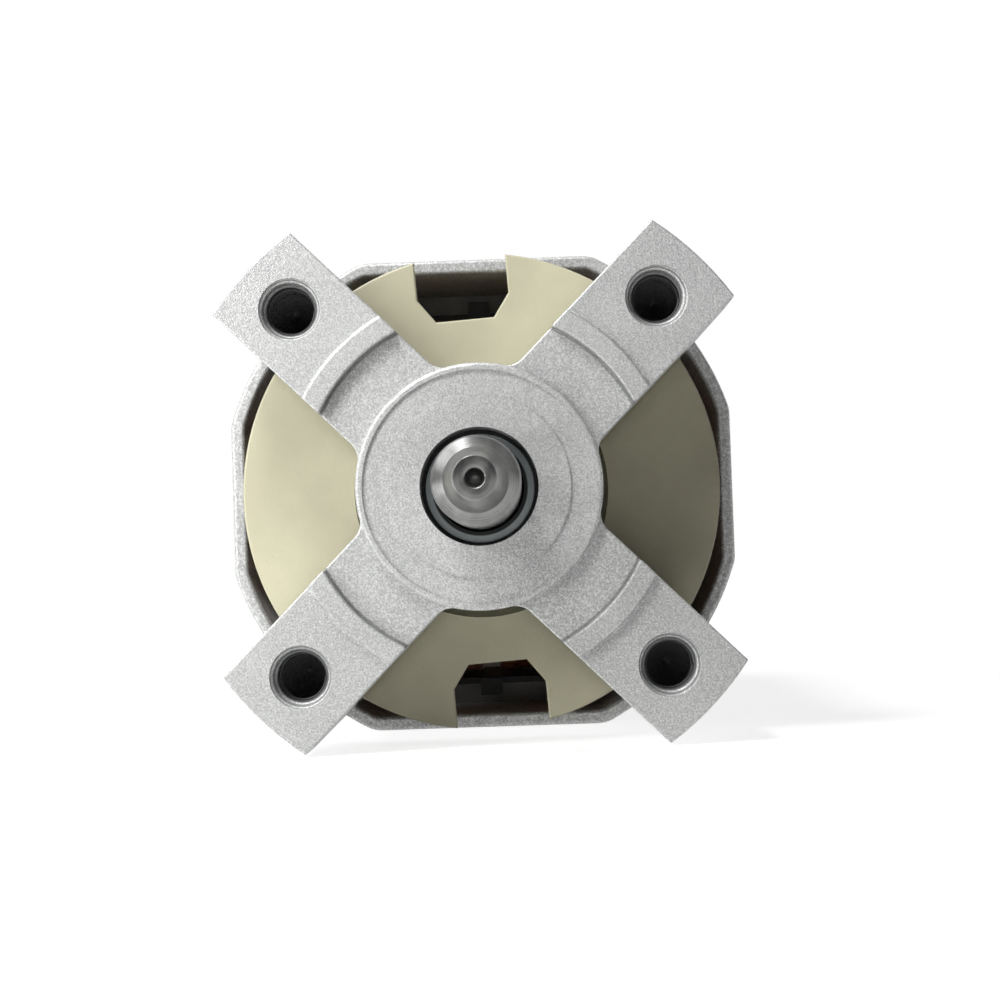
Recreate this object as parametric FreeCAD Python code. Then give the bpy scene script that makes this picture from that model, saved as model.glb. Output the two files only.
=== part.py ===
import FreeCAD, Part
import math
import os

# Grain mill motor, in millimetres.
# The motor axis runs along Y, the shaft end points to -Y, and +Z is up.
# The origin is where the axis meets the face of the four mounting pads.
# Stations are distances along Y behind that face.

# Four arms of the front bracket
hole_spacing = 65.0
arm_width = 20.0
arm_end_radius = 56.3
arm_thickness = 13.6
arm_floor_depth = 0.9
ridge_inner_radius = 31.1
ridge_width = 3.7
ridge_height = 1.0
arm_root_fillet = 4.0
tapped_hole_radius = 4.25
tapped_hole_depth = 12.5
hole_mouth_radius = 5.6
hole_mouth_depth = 3.0
drill_point_angle = 118.0
arm_edge_round = 0.35

# Round boss of the front bracket
boss_radius = 21.9
boss_stand = 0.7
boss_overhang = 6.5
boss_bore_radius = 10.5
boss_lip_thickness = 7.7
boss_edge_round = 0.6
band_inner_radius = 16.2
band_outer_radius = 20.7
band_depth = 0.4

# Body shared by both brackets and the stator: four flats, with corners round about the axis
body_width = 95.0
body_height = 89.0
corner_past_flats = 2.1
body_corner_blend = 6.0
front_wall = 2.6
front_rim_round = 0.7
window_length = 13.0
front_wall_length = 32.5
column_width = 20.0
column_to_blade = 1.0

# Stator stack
stack_length = 40.0
side_yoke = 10.0
top_yoke = 7.7
corner_yoke = 10.0
window_corner_blend = 4.0
pole_width = 34.0
shoe_thickness = 4.0
shoe_half_angle = 58.0

# Field coils and their insulators
coil_to_shoe = 0.4
coil_to_pole = 0.4
coil_to_stack = 2.0
coil_to_side = 1.2
coil_to_top = 1.8
coil_depth = 4.9
coil_half_gap = 2.0
coil_overhang = 14.0
coil_corner_radius = 11.0
insulator_thickness = 1.2
insulator_lap = 1.2
insulator_clearance = 0.3
tab_width = 4.3
tab_height = 3.4
tab_length = 4.0

# Stator screws and washers
screw_edge_distance = 5.0
screw_radius = 2.0
screw_engagement = 14.0
screw_head_radius = 3.4
screw_head_height = 2.8
screw_crown_radius = 2.5
screw_tip_chamfer = 0.4
screw_recess_radius = 1.6
screw_recess_width = 0.9
screw_recess_depth = 1.5
washer_radius = 3.8
washer_thickness = 1.0
screw_clearance = 0.25
thread_clearance = 0.02
tapped_spare_depth = 2.0

# Fan
fan_inside_body = 0.3
fan_disc_thickness = 1.8
fan_to_arm = 3.5
fan_to_boss = 1.6
fan_dish_wall = 1.6
fan_web_thickness = 2.0
fan_hub_radius = 13.0
fan_hub_length = 15.4
blade_count = 12
blade_thickness = 1.6
blade_to_wall = 1.5
blade_height = 11.0
notch_width = 17.0
notch_depth = 12.3
fan_edge_round = 0.4
notch_chamfer_across = 3.1
notch_chamfer_along = 4.3
fan_turn = 3.5
leg_to_fan = 1.5

# Shaft
shaft_reach = 34.0
shaft_radius = 7.5
shaft_shoulder_reach = 24.0
shaft_edge_chamfer = 0.4
tip_cone_length = 1.2
tip_pilot_length = 1.4
tip_root_radius = 5.4
tip_face_radius = 3.6
core_seat_radius = 8.5
rear_seat_radius = 6.0
centre_hole_radius = 1.45
centre_hole_depth = 5.0
shaft_end_inset = 0.5
relief_width = 1.0
relief_depth = 0.2

# Armature
air_gap = 0.5
slot_count = 12
slot_radius = 3.6
slot_to_gap = 6.1
slot_mouth = 2.4
slot_liner = 0.3
armature_insulator_inset = 0.7
armature_insulator_thickness = 1.0
sleeve_wall = 2.3
end_winding_inset = 1.9
front_winding_length = 13.0
rear_winding_length = 7.0
winding_cone_length = 5.9
winding_round = 3.0
winding_gap = 0.1

# Commutator
commutator_radius = 14.0
commutator_hub_radius = 10.4
commutator_length = 17.0
commutator_hub_lip = 1.0
commutator_collar_radius = 8.0
bar_count = 24
bar_gap = 0.7
riser_radius = 16.0
riser_length = 2.5

# Front bearing
front_bearing_radius = 17.5
front_bearing_width = 11.0
front_ball_count = 8
front_pitch_radius = 12.5

# Rear bearing
rear_bearing_radius = 16.0
rear_bearing_width = 10.0
rear_ball_count = 7
rear_pitch_radius = 11.0

# Both bearings
ball_radius = 2.975
ball_clearance = 0.025
land_height = 0.8
seal_recess = 0.6
seal_depth = 1.4
seal_thickness = 0.9
seal_inset = 0.2
seal_clearance = 0.1
seal_groove = 1.1
ring_chamfer = 0.4
cage_wall = 1.6
cage_rail = 0.6
pocket_clearance = 0.06
seat_clearance = 0.01

# Circlip in the front boss
circlip_thickness = 1.5
circlip_groove_depth = 1.0
circlip_groove_clearance = 0.1
circlip_inner_radius = 15.4
circlip_gap_angle = 24.0
circlip_eye_radius = 0.9
circlip_lug_radius = 2.1

# Rear bracket
rear_wall_thickness = 3.0
rear_side_wall = 2.5
rear_cavity_length = 32.0
rear_boss_wall = 3.5
rear_boss_inset = 3.0
rear_boss_floor = 3.0
rear_edge_round = 1.2
vent_to_boss = 3.0
vent_to_edge = 7.5
vent_width = 3.6
vent_angles = (-62.0, -42.0, -22.0, 202.0, 222.0, 242.0)
side_slot_width = 3.8
side_slot_end_round = 1.85
side_slot_length = 20.0
side_slot_pitch = 9.0
side_slot_count = 5

# Spring washer behind the rear bearing
spring_washer_thickness = 0.5
spring_washer_rise = 0.5
spring_washer_inner_radius = 12.5
spring_washer_margin = 0.4

# Brush gear
brush_from_riser = 7.0
brush_width = 6.3
brush_breadth = 9.0
brush_length = 16.0
brush_gap = 0.05
brush_slip = 0.08
holder_wall = 0.7
holder_from_commutator = 2.5
holder_from_side = 4.5
sleeve_radius = 7.5
sleeve_length = 10.0
sleeve_flange_radius = 9.0
sleeve_flange_thickness = 1.5
cap_plug_radius = 5.8
cap_plug_length = 4.6
cap_head_radius = 7.2
cap_head_thickness = 2.0
cap_slot_width = 1.4
cap_slot_depth = 1.2
cap_clearance = 0.05
spring_radius = 2.1
spring_wire_radius = 0.3
spring_turns = 9
spring_end_gap = 0.15

# Terminal block on the rear wall
block_width = 26.0
block_height = 11.0
block_depth = 10.0
block_from_top = 11.5
terminal_count = 2
terminal_pitch = 13.0
terminal_width = 6.3
terminal_thickness = 0.8
terminal_reach = 8.0
terminal_root = 4.0
block_recess = 5.0
terminal_slip = 0.02
block_bevel = 1.0

# Short leads inside the rear bracket
lead_radius = 1.1

# Length by which a cutting shape passes the face that it opens
overrun = 1.0

# Distance below which two places count as the same
same = 0.001

ORIGIN = FreeCAD.Vector(0, 0, 0)
AXIS = FreeCAD.Vector(0, 1, 0)

# Stations of the front bracket
ridge_face = -ridge_height
arm_floor = arm_floor_depth
arm_back = arm_floor + arm_thickness
boss_face = -boss_stand
boss_back = arm_back + boss_overhang
rim_face = arm_back + window_length
stack_front = rim_face + front_wall_length
stack_back = stack_front + stack_length

# Stations of the bearings
front_bearing_front = boss_face + boss_lip_thickness
front_bearing_back = front_bearing_front + front_bearing_width
rear_wall_front = stack_back + rear_cavity_length
rear_wall_back = rear_wall_front + rear_wall_thickness

# Radii that follow the body
body_corner_reach = max(body_width, body_height) / 2 + corner_past_flats
fan_radius = body_height / 2 - fan_inside_body
blade_tip_radius = body_height / 2 - front_wall - blade_to_wall
column_inner_radius = blade_tip_radius + column_to_blade
notch_floor_radius = fan_radius - notch_depth
coil_outer_radius = body_width / 2 - side_yoke - coil_to_side
coil_half_height = body_height / 2 - top_yoke - coil_to_top
bore_radius = coil_outer_radius - coil_depth - coil_to_shoe - shoe_thickness
armature_radius = bore_radius - air_gap
slot_circle_radius = armature_radius - slot_to_gap
armature_insulator_radius = armature_radius - armature_insulator_inset
end_winding_radius = armature_radius - end_winding_inset
rear_boss_radius = rear_bearing_radius + rear_boss_wall
vent_inner_radius = rear_boss_radius + vent_to_boss
vent_outer_radius = body_height / 2 - vent_to_edge
block_centre_height = body_height / 2 - block_from_top

# Stations of the fan
fan_front = arm_back + fan_to_arm
dish_floor = boss_back + fan_to_boss
dish_radius = boss_radius + fan_to_boss
fan_hub_back = dish_floor + fan_hub_length
leg_inner_radius = fan_radius + leg_to_fan

# Stations of the armature and commutator
sleeve_radius_on_shaft = core_seat_radius + sleeve_wall
front_winding_front = stack_front - armature_insulator_thickness - front_winding_length
rear_winding_back = stack_back + armature_insulator_thickness + rear_winding_length
commutator_front = rear_winding_back + winding_cone_length
commutator_back = commutator_front + commutator_length
commutator_hub_front = commutator_front - commutator_hub_lip
commutator_hub_back = commutator_back + commutator_hub_lip
rear_bearing_front = commutator_hub_back + rear_boss_inset
rear_bearing_back = rear_bearing_front + rear_bearing_width
rear_boss_floor_front = rear_bearing_back + spring_washer_thickness + spring_washer_rise
rear_boss_back = rear_boss_floor_front + rear_boss_floor
brush_station = commutator_front + riser_length + brush_from_riser
brush_face = commutator_radius + brush_gap
brush_end = brush_face + brush_length
side_face = body_width / 2


def turned(outline):
    """Solid turned about the motor axis from (radius, station) corners."""
    corners = [FreeCAD.Vector(radius, station, 0) for radius, station in outline]
    face = Part.Face(Part.makePolygon(corners + corners[:1]))
    return face.revolve(ORIGIN, AXIS, 360)


def rod(radius, start, end):
    """Cylinder on the motor axis between two stations."""
    return Part.makeCylinder(radius, end - start, FreeCAD.Vector(0, start, 0), AXIS)


def tube(outer_radius, inner_radius, start, end):
    """Ring on the motor axis between two stations."""
    return rod(outer_radius, start, end).cut(rod(inner_radius, start, end))


def swung(shape, angle):
    """Copy turned about the motor axis, counter-clockwise seen from the shaft end."""
    copy = shape.copy()
    copy.rotate(ORIGIN, AXIS, -angle)
    return copy


def radial_bar(width, inner_radius, outer_radius, start, end, angle):
    """Straight bar that runs outward at an angle from +X."""
    corner = FreeCAD.Vector(inner_radius, start, -width / 2)
    return swung(Part.makeBox(outer_radius - inner_radius, end - start, width, corner), angle)


def fused(shapes):
    """One solid from touching or crossing solids."""
    return shapes[0].multiFuse(shapes[1:]).removeSplitter()


def is_straight_along(edge, direction):
    """Whether an edge is a straight line in a direction."""
    if edge.Degenerated or not isinstance(edge.Curve, Part.Line):
        return False
    return abs(edge.tangentAt(edge.FirstParameter).dot(direction)) > 1 - same


def lengthwise_edges(shape):
    """Straight edges that run along the motor axis."""
    found = []
    for edge in shape.Edges:
        if is_straight_along(edge, AXIS):
            found.append(edge)
    return found


def radius_of(point):
    """Distance of a point from the motor axis."""
    return math.hypot(point.x, point.z)


def lengthwise_edges_at(shape, radius):
    """Lengthwise edges at one distance from the motor axis."""
    found = []
    for edge in lengthwise_edges(shape):
        if abs(radius_of(edge.Vertexes[0].Point) - radius) < same:
            found.append(edge)
    return found


def cornered_block(width, height, reach, blend, start, end):
    """Block whose corners are round about the motor axis, with a soft blend into each flat."""
    low = FreeCAD.Vector(-width / 2, start, -height / 2)
    block = Part.makeBox(width, end - start, height, low).common(rod(reach, start, end))
    return block.makeFillet(blend, lengthwise_edges(block))


def body_block(inset, start, end):
    """Outline that brackets and stator share, drawn in by a wall."""
    width = body_width - 2 * inset
    height = body_height - 2 * inset
    return cornered_block(width, height, body_corner_reach - inset, body_corner_blend - inset, start, end)


def at_station(shape, station):
    """Edges that lie wholly at one station."""
    found = []
    for edge in shape.Edges:
        box = edge.BoundBox
        if abs(box.YMin - station) < same and abs(box.YMax - station) < same:
            found.append(edge)
    return found


ARM_ANGLES = (45.0, 135.0, 225.0, 315.0)
hole_circle_radius = hole_spacing / math.sqrt(2)


def four_bars(width, start, end):
    """Two crossing bars that reach past the arm ends."""
    reach = arm_end_radius + arm_width
    return fused([radial_bar(width, 0, reach, start, end, angle) for angle in ARM_ANGLES])


def arm_plate():
    """Boss and arms at floor level, with the fillets where they meet."""
    arms = four_bars(arm_width, arm_floor, arm_back).common(rod(arm_end_radius, arm_floor, arm_back))
    plate = fused([rod(boss_radius, arm_floor, arm_back), arms])
    return plate.makeFillet(arm_root_fillet, lengthwise_edges_at(plate, boss_radius))


def arm_pads():
    """Pads at the arm ends, and on each arm a low ridge concentric with the shaft."""
    pads = four_bars(arm_width, 0, arm_floor).common(
        tube(arm_end_radius, ridge_inner_radius, 0, arm_floor))
    ridges = four_bars(arm_width, ridge_face, arm_floor).common(
        tube(ridge_inner_radius + ridge_width, ridge_inner_radius, ridge_face, arm_floor))
    return fused([pads, ridges])


def front_boss():
    """Round boss with a shallow bare band in its face."""
    boss = rod(boss_radius, boss_face, boss_back)
    boss = boss.makeFillet(boss_edge_round, at_station(boss, boss_face))
    return boss.cut(tube(band_outer_radius, band_inner_radius, boss_face - overrun, boss_face + band_depth))


def bracket_legs():
    """Legs that carry the thin wall from the arm ends, tapered to the wall's corners."""
    taper = turned([
        (leg_inner_radius, arm_back),
        (arm_end_radius, arm_back),
        (body_corner_reach, rim_face),
        (leg_inner_radius, rim_face),
    ])
    return four_bars(arm_width, arm_back, rim_face).common(taper)


def front_skirt():
    """Thin rounded-square wall with a rounded rim and four corner columns."""
    wall = body_block(0, rim_face, stack_front).cut(body_block(front_wall, rim_face, stack_front))
    wall = wall.makeFillet(front_rim_round, at_station(wall, rim_face))
    columns = four_bars(column_width, rim_face, stack_front).common(body_block(0, rim_face, stack_front))
    columns = columns.cut(rod(column_inner_radius, rim_face, stack_front))
    return fused([wall, columns])


def bracket_arms():
    """Arms, pads, ridges and legs in one, with softened edges."""
    arms = fused([arm_plate(), arm_pads(), bracket_legs()])
    arms = arms.makeFillet(arm_edge_round, lengthwise_edges_at(arms, arm_end_radius))
    soft = at_station(arms, ridge_face) + at_station(arms, 0) + at_station(arms, arm_floor)
    for edge in arms.Edges:
        box = edge.BoundBox
        if box.YMax < arm_floor + same and box.YLength > same:
            soft.append(edge)
    return arms.makeFillet(arm_edge_round, soft)


def tapped_hole(angle):
    """Tapped hole with a wide cast mouth and a drill point."""
    point = tapped_hole_radius / math.tan(math.radians(drill_point_angle / 2))
    hole = turned([
        (0, -overrun),
        (hole_mouth_radius, -overrun),
        (hole_mouth_radius, 0),
        (tapped_hole_radius, hole_mouth_depth),
        (tapped_hole_radius, tapped_hole_depth - point),
        (0, tapped_hole_depth),
    ])
    hole.translate(FreeCAD.Vector(hole_circle_radius, 0, 0))
    return swung(hole, angle)


def screw_places():
    """Places of the stator screws, in the middles of the body's round corners."""
    reach = (body_corner_reach - screw_edge_distance) / math.sqrt(2)
    return [FreeCAD.Vector(side * reach, 0, level * reach) for side in (-1, 1) for level in (-1, 1)]


def at_screws(shape):
    """Copies of an axial shape at the four stator screws."""
    copies = []
    for place in screw_places():
        copy = shape.copy()
        copy.translate(place)
        copies.append(copy)
    return copies


def front_bracket():
    bracket = fused([bracket_arms(), front_boss(), front_skirt()])
    seat = front_bearing_radius + seat_clearance
    groove_end = front_bearing_back + circlip_thickness + circlip_groove_clearance
    cuts = [
        rod(boss_bore_radius, boss_face - overrun, front_bearing_front + overrun),
        rod(seat, front_bearing_front, boss_back + overrun),
        rod(seat + circlip_groove_depth, front_bearing_back, groove_end),
    ]
    thread_start = stack_front - screw_engagement - tapped_spare_depth
    cuts.extend(at_screws(rod(screw_radius + thread_clearance, thread_start, stack_front + overrun)))
    cuts.extend(tapped_hole(angle) for angle in ARM_ANGLES)
    cuts.append(insulator_outline(stack_front, -1, insulator_clearance))
    return bracket.cut(Part.makeCompound(cuts))


def circlip():
    """Internal spring ring with two eyed lugs at its gap."""
    start = front_bearing_back + circlip_groove_clearance / 2
    end = start + circlip_thickness
    outer = front_bearing_radius + circlip_groove_depth - circlip_groove_clearance
    ring = tube(outer, circlip_inner_radius, start, end)
    gap = radial_bar(2 * outer * math.sin(math.radians(circlip_gap_angle / 2)), 0, 2 * outer, start, end, 90)
    lugs = []
    eyes = []
    for side in (-1, 1):
        angle = 90 + side * (circlip_gap_angle / 2 + math.degrees(circlip_lug_radius / circlip_inner_radius))
        lug = rod(circlip_lug_radius, start, end)
        lug.translate(FreeCAD.Vector(circlip_inner_radius + circlip_eye_radius / 2, 0, 0))
        lugs.append(swung(lug, angle))
        eye = rod(circlip_eye_radius, start, end)
        eye.translate(FreeCAD.Vector(circlip_inner_radius, 0, 0))
        eyes.append(swung(eye, angle))
    return fused([ring.cut(gap)] + lugs).cut(Part.makeCompound(eyes))


def notch_cutter(angle):
    """Chamfered notch in the edge of the fan disc."""
    half = notch_width / 2
    outer = fan_radius + overrun
    corners = [
        (outer, -half),
        (notch_floor_radius + notch_chamfer_along, -half),
        (notch_floor_radius, -half + notch_chamfer_across),
        (notch_floor_radius, half - notch_chamfer_across),
        (notch_floor_radius + notch_chamfer_along, half),
        (outer, half),
    ]
    points = [FreeCAD.Vector(along, fan_front, across) for along, across in corners]
    face = Part.Face(Part.makePolygon(points + points[:1]))
    return swung(face.extrude(FreeCAD.Vector(0, fan_disc_thickness, 0)), angle)


def outer_edges(disc, station):
    """Edges of one face of the disc, without those of its middle hole."""
    found = []
    for edge in at_station(disc, station):
        if radius_of(edge.Vertexes[0].Point) > dish_radius + same:
            found.append(edge)
    return found


def fan():
    """Flat disc with two notches, a dished centre, a hub and straight blades."""
    bore = core_seat_radius + seat_clearance
    disc_back = fan_front + fan_disc_thickness
    web_back = dish_floor + fan_web_thickness
    dish_outer = dish_radius + fan_dish_wall
    disc = tube(fan_radius, dish_radius, fan_front, disc_back)
    for angle in (90, 270):
        disc = disc.cut(notch_cutter(angle + fan_turn))
    disc = disc.makeFillet(fan_edge_round, outer_edges(disc, fan_front) + outer_edges(disc, disc_back))
    parts = [
        disc,
        tube(dish_outer, dish_radius, fan_front, web_back),
        tube(dish_outer, bore, dish_floor, web_back),
        tube(fan_hub_radius, bore, dish_floor, fan_hub_back),
    ]
    step = 360 / blade_count
    root = dish_radius + fan_dish_wall / 2
    for index in range(blade_count):
        angle = fan_turn + step * (index + 0.5)
        parts.append(radial_bar(blade_thickness, root, blade_tip_radius, fan_front + fan_disc_thickness / 2,
                                disc_back + blade_height, angle))
    return fused(parts)


def shaft():
    """Turned steel shaft with a stepped, conical end and centre holes."""
    tip = -shaft_reach
    shoulder = -shaft_shoulder_reach
    cone_start = shoulder - tip_cone_length
    end = rear_bearing_back - shaft_end_inset
    seat_end = commutator_hub_front
    relief_end = front_bearing_front - relief_width / 2
    body = turned([
        (0, tip),
        (tip_face_radius, tip),
        (tip_root_radius, cone_start - tip_pilot_length),
        (tip_root_radius, cone_start),
        (shaft_radius - shaft_edge_chamfer, shoulder),
        (shaft_radius, shoulder + shaft_edge_chamfer),
        (shaft_radius, relief_end - relief_width),
        (shaft_radius - relief_depth, relief_end - relief_width),
        (shaft_radius - relief_depth, relief_end),
        (shaft_radius, relief_end),
        (shaft_radius, front_bearing_back),
        (core_seat_radius, front_bearing_back),
        (core_seat_radius, seat_end),
        (rear_seat_radius, seat_end),
        (rear_seat_radius, end - shaft_edge_chamfer),
        (rear_seat_radius - shaft_edge_chamfer, end),
        (0, end),
    ])
    front_hole = turned([
        (0, tip - overrun),
        (centre_hole_radius, tip - overrun),
        (centre_hole_radius, tip + centre_hole_depth - centre_hole_radius),
        (0, tip + centre_hole_depth),
    ])
    rear_hole = turned([
        (0, end + overrun),
        (centre_hole_radius, end + overrun),
        (centre_hole_radius, end - centre_hole_depth + centre_hole_radius),
        (0, end - centre_hole_depth),
    ])
    return body.cut(front_hole).cut(rear_hole)


class Bearing:
    """Sealed deep-groove ball bearing, named by its seat and its shaft."""

    def __init__(self, name, front, width, outer_radius, bore_radius, pitch_radius, ball_count):
        self.name = name
        self.front = front
        self.back = front + width
        self.middle = front + width / 2
        self.outer_radius = outer_radius
        self.bore_radius = bore_radius + seat_clearance
        self.pitch_radius = pitch_radius
        self.ball_count = ball_count
        self.inner_land = pitch_radius - ball_radius + land_height
        self.outer_land = pitch_radius + ball_radius - land_height
        self.inner_face = self.inner_land - seal_recess
        self.seal_outer = self.outer_land + seal_groove

    def groove(self):
        radius = ball_radius + ball_clearance
        centre = FreeCAD.Vector(self.pitch_radius, self.middle, 0)
        circle = Part.Wire(Part.makeCircle(radius, centre, FreeCAD.Vector(0, 0, 1)))
        return Part.Face(circle).revolve(ORIGIN, AXIS, 360)

    def inner_ring(self):
        ring = turned([
            (self.bore_radius, self.front + ring_chamfer),
            (self.bore_radius + ring_chamfer, self.front),
            (self.inner_face, self.front),
            (self.inner_face, self.front + seal_depth),
            (self.inner_land, self.front + seal_depth),
            (self.inner_land, self.back - seal_depth),
            (self.inner_face, self.back - seal_depth),
            (self.inner_face, self.back),
            (self.bore_radius + ring_chamfer, self.back),
            (self.bore_radius, self.back - ring_chamfer),
        ])
        return ring.cut(self.groove())

    def outer_ring(self):
        seat = self.outer_radius
        ring = turned([
            (seat, self.front + ring_chamfer),
            (seat - ring_chamfer, self.front),
            (self.seal_outer, self.front),
            (self.seal_outer, self.front + seal_depth),
            (self.outer_land, self.front + seal_depth),
            (self.outer_land, self.back - seal_depth),
            (self.seal_outer, self.back - seal_depth),
            (self.seal_outer, self.back),
            (seat - ring_chamfer, self.back),
            (seat, self.back - ring_chamfer),
        ])
        return ring.cut(self.groove())

    def ball_places(self):
        step = 2 * math.pi / self.ball_count
        places = []
        for index in range(self.ball_count):
            angle = (index + 0.5) * step
            across = self.pitch_radius * math.cos(angle)
            up = self.pitch_radius * math.sin(angle)
            places.append(FreeCAD.Vector(across, self.middle, up))
        return places

    def balls(self):
        return Part.makeCompound([Part.makeSphere(ball_radius, place) for place in self.ball_places()])

    def cage(self):
        half = ball_radius + pocket_clearance + cage_rail
        outer = self.pitch_radius + cage_wall / 2
        ring = tube(outer, outer - cage_wall, self.middle - half, self.middle + half)
        pockets = []
        for place in self.ball_places():
            outward = FreeCAD.Vector(place.x, 0, place.z)
            foot = FreeCAD.Vector(0, self.middle, 0)
            radius = ball_radius + pocket_clearance
            pockets.append(Part.makeCylinder(radius, self.outer_radius, foot, outward))
        return ring.cut(Part.makeCompound(pockets))

    def seals(self):
        outer = self.seal_outer - seat_clearance
        inner = self.inner_face + seal_clearance
        first = self.front + seal_inset
        last = self.back - seal_inset
        return Part.makeCompound([
            tube(outer, inner, first, first + seal_thickness),
            tube(outer, inner, last - seal_thickness, last),
        ])


def armature_slots(radius, start, end):
    """Round slots with narrow mouths, all round the armature."""
    cutters = []
    for index in range(slot_count):
        angle = index * 360 / slot_count
        hole = rod(radius, start, end)
        hole.translate(FreeCAD.Vector(slot_circle_radius, 0, 0))
        cutters.append(swung(hole, angle))
        reach = armature_radius + overrun
        cutters.append(radial_bar(slot_mouth, slot_circle_radius, reach, start, end, angle))
    return Part.makeCompound(cutters)


def armature_core():
    core = tube(armature_radius, core_seat_radius + seat_clearance, stack_front, stack_back)
    return core.cut(armature_slots(slot_radius, stack_front, stack_back))


def armature_insulator(core_face, outward, sleeve_end):
    """Fibre disc against the core, with a sleeve along the shaft."""
    bore = core_seat_radius + seat_clearance
    disc_face = core_face + outward * armature_insulator_thickness
    start, end = min(core_face, disc_face), max(core_face, disc_face)
    disc = tube(armature_insulator_radius, bore, start, end)
    disc = disc.cut(armature_slots(slot_radius, start, end))
    sleeve = tube(sleeve_radius_on_shaft, bore, min(core_face, sleeve_end), max(core_face, sleeve_end))
    return fused([disc, sleeve])


def armature_winding():
    """Wire in the slots, with a round bundle at each end of the core."""
    front_face = stack_front - armature_insulator_thickness - winding_gap
    rear_face = stack_back + armature_insulator_thickness + winding_gap
    inner = sleeve_radius_on_shaft + winding_gap
    front_bundle = turned([
        (inner, front_face),
        (inner, front_winding_front + winding_round),
        (inner + winding_round, front_winding_front),
        (end_winding_radius - winding_round, front_winding_front),
        (end_winding_radius, front_winding_front + winding_round),
        (end_winding_radius, front_face),
    ])
    rear_bundle = turned([
        (inner, rear_face),
        (end_winding_radius, rear_face),
        (end_winding_radius, rear_winding_back),
        (riser_radius, commutator_front),
        (inner, commutator_front),
    ])
    parts = [front_bundle, rear_bundle]
    for index in range(slot_count):
        wires = rod(slot_radius - slot_liner, front_face - overrun, rear_face + overrun)
        wires.translate(FreeCAD.Vector(slot_circle_radius, 0, 0))
        parts.append(swung(wires, index * 360 / slot_count))
    return fused(parts)


def commutator_hub():
    """Moulded hub under the bars, with a collar up to the rear bearing."""
    bore = rear_seat_radius + seat_clearance
    return fused([
        tube(commutator_hub_radius, bore, commutator_hub_front, commutator_hub_back),
        tube(commutator_collar_radius, bore, commutator_hub_back, rear_bearing_front),
    ])


def commutator_bars():
    """Copper bars with risers, parted by narrow gaps."""
    inner = commutator_hub_radius + seat_clearance
    ring = turned([
        (inner, commutator_front),
        (riser_radius, commutator_front),
        (riser_radius, commutator_front + riser_length),
        (commutator_radius, commutator_front + riser_length),
        (commutator_radius, commutator_back),
        (inner, commutator_back),
    ])
    reach = riser_radius + overrun
    gaps = []
    for index in range(bar_count):
        angle = (index + 0.5) * 360 / bar_count
        gaps.append(radial_bar(bar_gap, inner / 2, reach, commutator_front, commutator_back, angle))
    return Part.makeCompound(ring.cut(Part.makeCompound(gaps)).Solids)


def window_outline(growth, start, end):
    """Outer outline of the stack's windows, enlarged by a growth."""
    width = body_width - 2 * side_yoke + 2 * growth
    height = body_height - 2 * top_yoke + 2 * growth
    reach = body_corner_reach - corner_yoke + growth
    return cornered_block(width, height, reach, window_corner_blend + growth, start, end)


def stator_window(start, end):
    """Open middle of the stack: two coil windows and the bore between the poles."""
    opening = window_outline(0, start, end)
    length = end - start
    low = FreeCAD.Vector(-body_width / 2, start, -pole_width / 2)
    poles = Part.makeBox(body_width, length, pole_width, low)
    shoes = tube(bore_radius + shoe_thickness, bore_radius - overrun, start, end)
    reach = body_width
    rise = reach * math.tan(math.radians(shoe_half_angle))
    wedges = []
    for side in (-1, 1):
        corners = [
            FreeCAD.Vector(0, start, 0),
            FreeCAD.Vector(side * reach, start, -rise),
            FreeCAD.Vector(side * reach, start, rise),
        ]
        wedge = Part.Face(Part.makePolygon(corners + corners[:1]))
        wedges.append(wedge.extrude(FreeCAD.Vector(0, length, 0)))
    iron = fused([poles] + [shoes.common(wedge) for wedge in wedges])
    return fused([opening.cut(iron), rod(bore_radius, start, end)])


def stator_core():
    core = body_block(0, stack_front, stack_back).cut(stator_window(stack_front, stack_back))
    holes = at_screws(rod(screw_radius + screw_clearance, stack_front, stack_back))
    return core.cut(Part.makeCompound(holes))


def insulator_outline(face, outward, slack):
    """Outline of a coil insulator against one face of the stack, enlarged by a slack."""
    end = face + outward * (insulator_thickness + slack)
    return window_outline(insulator_lap + slack, min(face, end), max(face, end))


def coil_insulator(face, outward):
    """Moulded frame round pole faces and windows, with a tab above and below."""
    outline = insulator_outline(face, outward, 0)
    box = outline.BoundBox
    frame = outline.cut(stator_window(box.YMin, box.YMax))
    tab_end = face + outward * tab_length
    tab_start = min(face, tab_end)
    low = body_height / 2 - top_yoke
    tabs = []
    for side in (-1, 1):
        base = low if side > 0 else -low - tab_height
        tabs.append(Part.makeBox(tab_width, tab_length, tab_height,
                                 FreeCAD.Vector(-tab_width / 2, tab_start, base)))
    return fused([frame] + tabs)


def field_coil(side):
    """Saddle-shaped coil round one pole, bent to the curve of the bore."""
    front = stack_front - coil_overhang
    back = stack_back + coil_overhang
    reach = coil_outer_radius + overrun
    outer = Part.makeBox(reach - coil_half_gap, back - front, 2 * coil_half_height,
                         FreeCAD.Vector(coil_half_gap, front, -coil_half_height))
    sideways = [edge for edge in outer.Edges if is_straight_along(edge, FreeCAD.Vector(1, 0, 0))]
    outer = outer.makeFillet(coil_corner_radius, sideways)
    half_eye = pole_width / 2 + coil_to_pole
    eye = Part.makeBox(reach, stack_length + 2 * coil_to_stack, 2 * half_eye,
                       FreeCAD.Vector(0, stack_front - coil_to_stack, -half_eye))
    shell = tube(coil_outer_radius, bore_radius + shoe_thickness + coil_to_shoe, front, back)
    coil = outer.cut(eye).common(shell)
    return coil if side > 0 else swung(coil, 180)


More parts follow.
